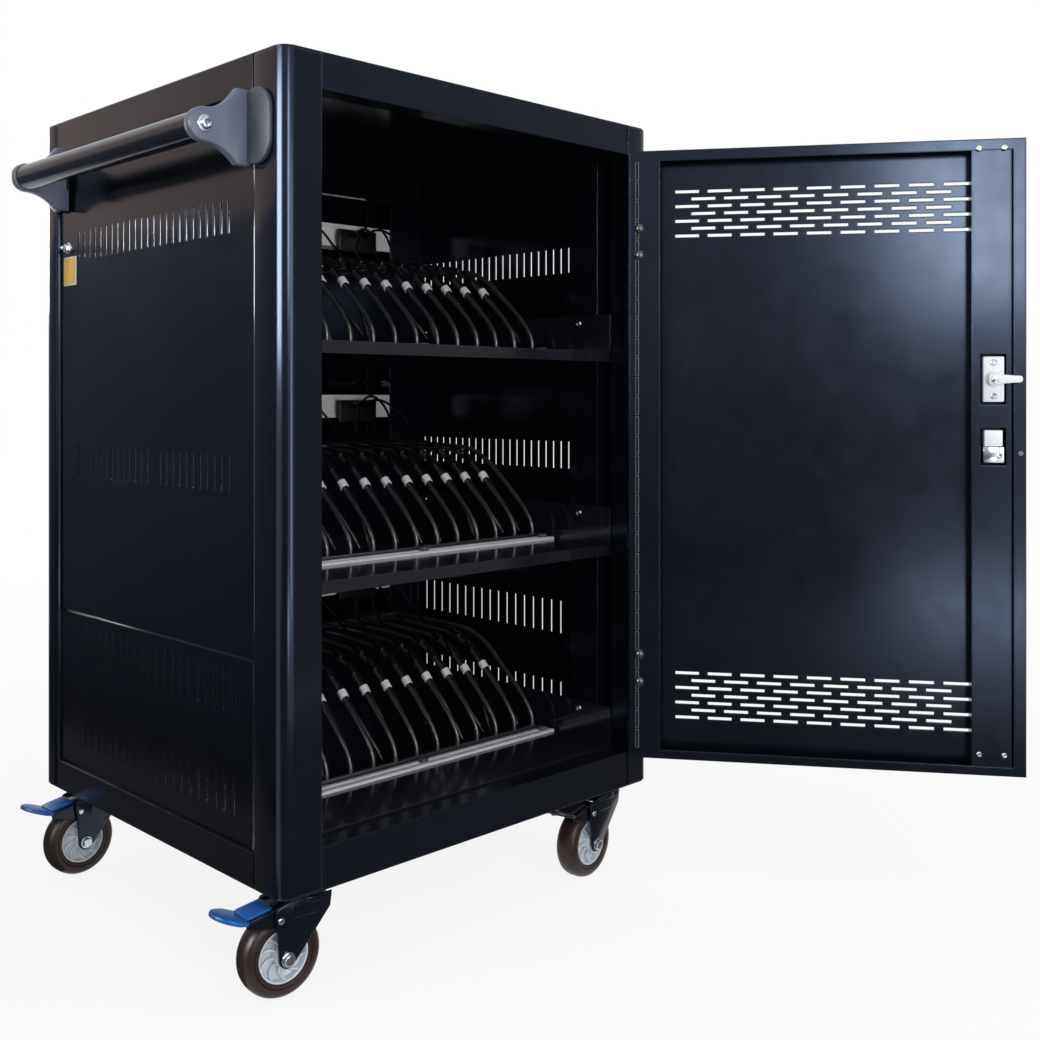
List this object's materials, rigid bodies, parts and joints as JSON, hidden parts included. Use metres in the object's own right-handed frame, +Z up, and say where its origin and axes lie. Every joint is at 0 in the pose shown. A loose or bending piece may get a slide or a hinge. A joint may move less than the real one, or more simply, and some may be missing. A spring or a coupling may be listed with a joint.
{
  "type": "laptop charging cart",
  "caption": "Steel cabinet cart on swivel casters with shelves of wire dividers for charging laptops, an open vented front door, a rear service door and a side push handle.",
  "frame": {"origin": "middle of the whole cart's box, on the floor", "axes": "+Z up, -Y toward the front door, +X to the right of someone facing the front"},
  "size_m": [0.9041, 1.0068, 1.008],
  "materials": {
    "black_paint": "semi-gloss black powder coat",
    "door_black": "semi-gloss black powder coat on the doors",
    "wire_black": "glossy black dipped wire",
    "black_plastic": "moulded black plastic, satin",
    "rail_aluminium": "satin light grey aluminium",
    "zinc_steel": "bright zinc plate",
    "lock_white": "white lacquered lock parts",
    "strip_white": "white moulded socket strip",
    "tyre_brown": "brown polyurethane tread",
    "hub_grey": "light grey nylon hub",
    "pedal_blue": "blue moulded pedal",
    "pedal_black": "black moulded pedal"
  },
  "bodies": {
    "cabinet": {"base_pan": "black_paint", "top_cover": "black_paint", "front_left_post": "black_paint", "front_right_post": "black_paint", "rear_left_post": "black_paint", "rear_right_post": "black_paint", "left_side_panel": "black_paint", "right_side_panel": "black_paint", "left_service_cover": "black_paint", "right_service_cover": "black_paint", "rear_partition": "black_paint", "power_inlet": "black_plastic", "handle_tube": "black_paint", "handle_front_bracket": "black_plastic", "handle_rear_bracket": "black_plastic", "front_hinge_fixed_leaf": "black_paint", "rear_hinge_fixed_leaf": "black_paint", "lower_shelf": "black_paint", "lower_divider_rail": "rail_aluminium", "lower_divider_wires": "wire_black", "lower_power_strip": "strip_white", "middle_shelf": "black_paint", "middle_divider_rail": "rail_aluminium", "middle_divider_wires": "wire_black", "middle_power_strip": "strip_white", "upper_shelf": "black_paint", "upper_divider_rail": "rail_aluminium", "upper_divider_wires": "wire_black", "upper_power_strip": "strip_white", "front_left_caster_plate": "black_paint", "front_right_caster_plate": "black_paint", "rear_left_caster_plate": "black_paint", "rear_right_caster_plate": "black_paint"},
    "front_door": {"front_door_panel": "door_black", "front_lock_channel": "door_black", "front_hinge_door_leaf": "black_paint", "lock_case": "lock_white", "lower_latch_block": "lock_white", "lock_escutcheon": "black_plastic"},
    "lock_cam": {"lock_cam": "lock_white"},
    "swing_handle": {"swing_handle": "black_plastic"},
    "rear_door": {"rear_door_panel": "door_black", "rear_hinge_door_leaf": "black_paint"},
    "rear_key_lock": {"rear_key_lock": "zinc_steel"},
    "front_left_caster": {"front_left_caster_fork": "black_paint"},
    "front_left_wheel": {"front_left_wheel_tyre": "tyre_brown", "front_left_wheel_hub": "hub_grey"},
    "front_left_pedal": {"front_left_brake_pedal": "pedal_blue"},
    "front_right_caster": {"front_right_caster_fork": "black_paint"},
    "front_right_wheel": {"front_right_wheel_tyre": "tyre_brown", "front_right_wheel_hub": "hub_grey"},
    "front_right_pedal": {"front_right_brake_pedal": "pedal_black"},
    "rear_left_caster": {"rear_left_caster_fork": "black_paint"},
    "rear_left_wheel": {"rear_left_wheel_tyre": "tyre_brown", "rear_left_wheel_hub": "hub_grey"},
    "rear_left_pedal": {"rear_left_brake_pedal": "pedal_blue"},
    "rear_right_caster": {"rear_right_caster_fork": "black_paint"},
    "rear_right_wheel": {"rear_right_wheel_tyre": "tyre_brown", "rear_right_wheel_hub": "hub_grey"},
    "rear_right_pedal": {"rear_right_brake_pedal": "pedal_black"}
  },
  "joints": [
    {"name": "front_door_hinge", "type": "hinge", "parent": "cabinet", "child": "front_door", "pos_m": [0.16487, -0.0783, 0.566], "axis": [0, 0, 1], "range_deg": [-125, 50]},
    {"name": "lock_cam_turn", "type": "hinge", "parent": "front_door", "child": "lock_cam", "pos_m": [0.41176, -0.46576, 0.664], "axis": [0.8192, 0.5736, 0], "range_deg": [0, 90]},
    {"name": "swing_handle_lift", "type": "hinge", "parent": "lock_cam", "child": "swing_handle", "pos_m": [0.43437, -0.44993, 0.664], "axis": [0.5736, -0.8192, 0], "range_deg": [0, 40]},
    {"name": "rear_door_hinge", "type": "hinge", "parent": "cabinet", "child": "rear_door", "pos_m": [-0.33783, 0.49971, 0.566], "axis": [0, 0, 1], "range_deg": [0, 120]},
    {"name": "rear_key_turn", "type": "hinge", "parent": "rear_door", "child": "rear_key_lock", "pos_m": [0.12117, 0.4797, 0.664], "axis": [0, 1, 0], "range_deg": [0, 90]},
    {"name": "front_left_swivel", "type": "hinge", "parent": "cabinet", "child": "front_left_caster", "pos_m": [-0.32798, -0.0313, 0.103], "axis": [0, 0, 1], "continuous": true},
    {"name": "front_left_wheel_spin", "type": "hinge", "parent": "front_left_caster", "child": "front_left_wheel", "pos_m": [-0.35878, -0.02779, 0.046], "axis": [-0.1132, -0.9936, 0], "continuous": true},
    {"name": "front_left_brake", "type": "hinge", "parent": "front_left_caster", "child": "front_left_pedal", "pos_m": [-0.36673, -0.02688, 0.089], "axis": [-0.1132, -0.9936, 0], "range_deg": [0, 10]},
    {"name": "front_right_swivel", "type": "hinge", "parent": "cabinet", "child": "front_right_caster", "pos_m": [0.15002, -0.0313, 0.103], "axis": [0, 0, 1], "continuous": true},
    {"name": "front_right_wheel_spin", "type": "hinge", "parent": "front_right_caster", "child": "front_right_wheel", "pos_m": [0.11922, -0.0348, 0.046], "axis": [0.1132, -0.9936, 0], "continuous": true},
    {"name": "front_right_brake", "type": "hinge", "parent": "front_right_caster", "child": "front_right_pedal", "pos_m": [0.11127, -0.03571, 0.089], "axis": [0.1132, -0.9936, 0], "range_deg": [0, 10]},
    {"name": "rear_left_swivel", "type": "hinge", "parent": "cabinet", "child": "rear_left_caster", "pos_m": [-0.32798, 0.45271, 0.103], "axis": [0, 0, 1], "continuous": true},
    {"name": "rear_left_wheel_spin", "type": "hinge", "parent": "rear_left_caster", "child": "rear_left_wheel", "pos_m": [-0.35896, 0.45162, 0.046], "axis": [0.0349, -0.9994, 0], "continuous": true},
    {"name": "rear_left_brake", "type": "hinge", "parent": "rear_left_caster", "child": "rear_left_pedal", "pos_m": [-0.36696, 0.45134, 0.089], "axis": [0.0349, -0.9994, 0], "range_deg": [0, 10]},
    {"name": "rear_right_swivel", "type": "hinge", "parent": "cabinet", "child": "rear_right_caster", "pos_m": [0.15002, 0.45271, 0.103], "axis": [0, 0, 1], "continuous": true},
    {"name": "rear_right_wheel_spin", "type": "hinge", "parent": "rear_right_caster", "child": "rear_right_wheel", "pos_m": [0.11914, 0.45541, 0.046], "axis": [-0.0872, -0.9962, 0], "continuous": true},
    {"name": "rear_right_brake", "type": "hinge", "parent": "rear_right_caster", "child": "rear_right_pedal", "pos_m": [0.11117, 0.4561, 0.089], "axis": [-0.0872, -0.9962, 0], "range_deg": [0, 10]}
  ]
}
